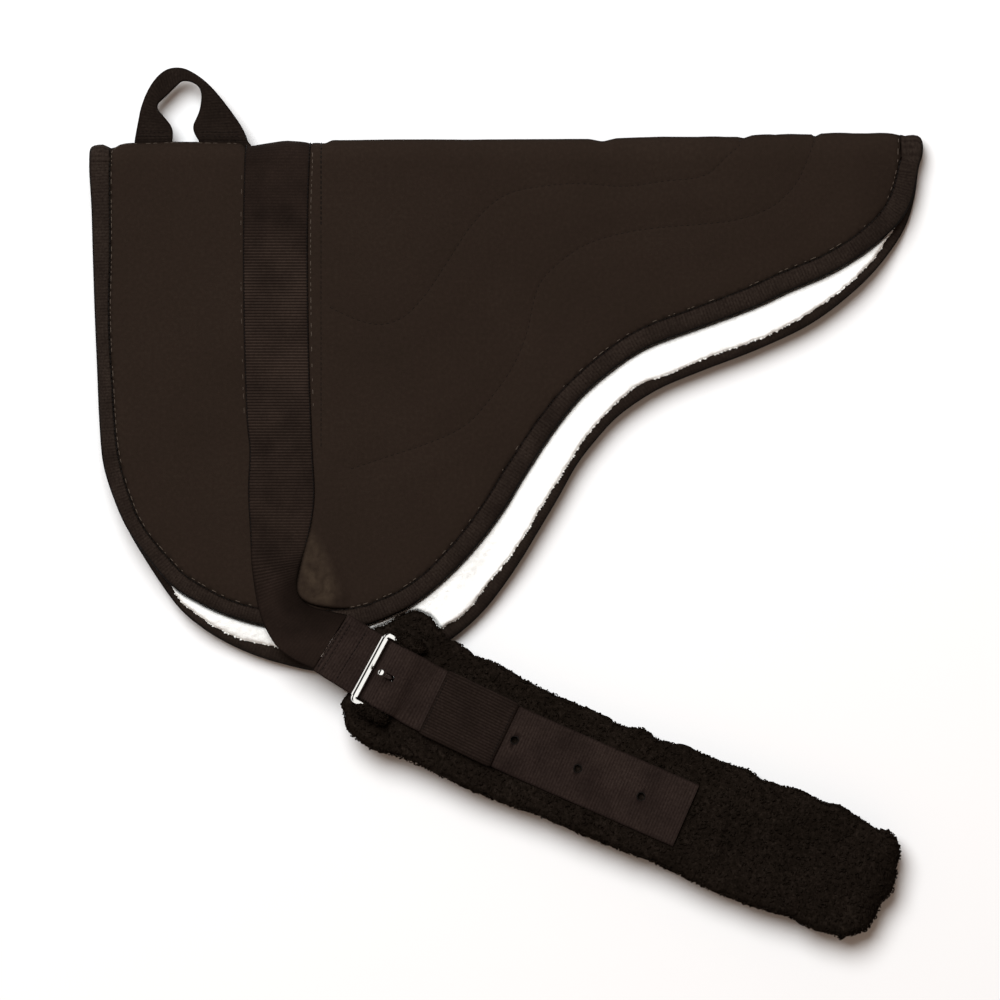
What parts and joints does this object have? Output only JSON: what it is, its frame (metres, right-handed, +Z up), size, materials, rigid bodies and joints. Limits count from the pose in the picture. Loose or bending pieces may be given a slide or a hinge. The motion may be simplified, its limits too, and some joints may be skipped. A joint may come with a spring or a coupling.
{
  "type": "bareback riding pad",
  "caption": "Fleece-lined bareback saddle pad folded along its spine, with a grab handle, a webbing strap and a fleece girth with roller buckles.",
  "frame": {"origin": "centre of the bounding box's underside, on the surface that the folded pad lies on", "axes": "+X from the withers to the tail, +Y from the girth towards the spine fold, +Z up through the folded layers"},
  "size_m": [0.6244, 0.648, 0.0539],
  "materials": {
    "shell_cloth": "closely woven dark brown suede-like cloth, matt",
    "foam": "closed-cell foam, hidden inside",
    "white_fleece": "soft white pile fleece",
    "edge_binding": "ribbed webbing tape, stitched",
    "webbing": "ribbed webbing, matt with a slight sheen",
    "black_fleece": "curly near-black pile",
    "buckle_metal": "bright chrome plate"
  },
  "bodies": {
    "far_half": {"far_front_shell": "shell_cloth", "far_rear_shell": "shell_cloth", "far_foam_core": "foam", "far_fleece_lining": "white_fleece", "far_edge_binding": "edge_binding", "far_strap": "webbing"},
    "spine": {"spine_front_shell": "shell_cloth", "spine_rear_shell": "shell_cloth", "spine_foam": "foam", "spine_lining": "white_fleece", "spine_strap": "webbing", "spine_binding_front": "edge_binding", "spine_binding_rear": "edge_binding"},
    "handle": {"grab_handle": "webbing"},
    "near_half": {"near_front_shell": "shell_cloth", "near_rear_shell": "shell_cloth", "near_foam_core": "foam", "near_fleece_lining": "white_fleece", "near_edge_binding": "edge_binding", "near_strap": "webbing"},
    "strap_tail": {"near_strap_turn": "webbing", "near_strap_tail": "webbing"},
    "near_girth": {"near_billet": "webbing", "girth_near_fleece": "black_fleece", "girth_near_core": "webbing", "near_keeper": "webbing", "near_chape": "webbing", "near_buckle_frame": "buckle_metal"},
    "near_buckle_roller": {"near_roller": "buckle_metal"},
    "near_buckle_tongue": {"near_tongue": "buckle_metal"},
    "far_girth": {"girth_far_fleece": "black_fleece", "girth_far_core": "webbing", "girth_fold_fleece": "black_fleece", "girth_fold_core": "webbing", "far_keeper": "webbing", "far_chape": "webbing"},
    "far_buckle": {"far_buckle_frame": "buckle_metal"},
    "far_buckle_roller": {"far_roller": "buckle_metal"},
    "far_buckle_tongue": {"far_tongue": "buckle_metal"},
    "off_side_billet": {"far_billet": "webbing"}
  },
  "joints": [
    {"name": "spine_fold", "type": "hinge", "parent": "far_half", "child": "near_half", "pos_m": [0, 0.2539, 0.0188], "axis": [-1, 0, 0], "range_deg": [0, 180]},
    {"name": "spine_turn", "type": "hinge", "parent": "far_half", "child": "spine", "pos_m": [0, 0.2539, 0.0188], "axis": [-1, 0, 0], "range_deg": [0, 90], "deforming": ["spine_front_shell", "spine_rear_shell", "spine_foam", "spine_lining", "spine_strap", "spine_binding_front", "spine_binding_rear"]},
    {"name": "handle_flop", "type": "hinge", "parent": "spine", "child": "handle", "pos_m": [-0.2375, 0.2701, 0.0188], "axis": [1, 0, 0], "range_deg": [-90, 90]},
    {"name": "strap_tail_swing", "type": "hinge", "parent": "near_half", "child": "strap_tail", "pos_m": [-0.1579, -0.0769, 0.0345], "axis": [0, 0, -1], "range_deg": [0, 66], "deforming": ["near_strap_turn"]},
    {"name": "girth_lift", "type": "hinge", "parent": "strap_tail", "child": "near_girth", "pos_m": [-0.13165, -0.10535, 0.0354], "axis": [-0.5328, -0.8462, 0], "range_deg": [0, 120]},
    {"name": "near_roller_spin", "type": "hinge", "parent": "near_girth", "child": "near_buckle_roller", "pos_m": [-0.10185, -0.12398, 0.039], "axis": [0.471, 0.8821, 0], "continuous": true},
    {"name": "near_tongue_play", "type": "hinge", "parent": "near_girth", "child": "near_buckle_tongue", "pos_m": [-0.08288, -0.13411, 0.035], "axis": [0.471, 0.8821, 0], "range_deg": [-5, 5]},
    {"name": "girth_unfold", "type": "hinge", "parent": "near_girth", "child": "far_girth", "pos_m": [0.26803, -0.29226, 0.02015], "axis": [-0.4099, -0.9121, 0], "range_deg": [0, 180], "deforming": ["girth_fold_fleece", "girth_fold_core"]},
    {"name": "far_buckle_swing", "type": "hinge", "parent": "far_girth", "child": "far_buckle", "pos_m": [-0.03115, -0.15781, 0.0075], "axis": [-0.4099, -0.9121, 0], "range_deg": [0, 90]},
    {"name": "far_roller_spin", "type": "hinge", "parent": "far_buckle", "child": "far_buckle_roller", "pos_m": [-0.05076, -0.149, 0.0075], "axis": [0.4099, 0.9121, 0], "continuous": true},
    {"name": "far_tongue_swing", "type": "hinge", "parent": "far_buckle", "child": "far_buckle_tongue", "pos_m": [-0.03115, -0.15781, 0.0075], "axis": [-0.4099, -0.9121, 0], "range_deg": [0, 45]},
    {"name": "far_billet_fold", "type": "hinge", "parent": "far_half", "child": "off_side_billet", "pos_m": [-0.1692, -0.1076, 0.00215], "axis": [-1, 0, 0], "range_deg": [0, 180]}
  ],
  "couplings": [
    {"joint": "spine_turn", "follows": "spine_fold", "ratio": 0.5}
  ]
}
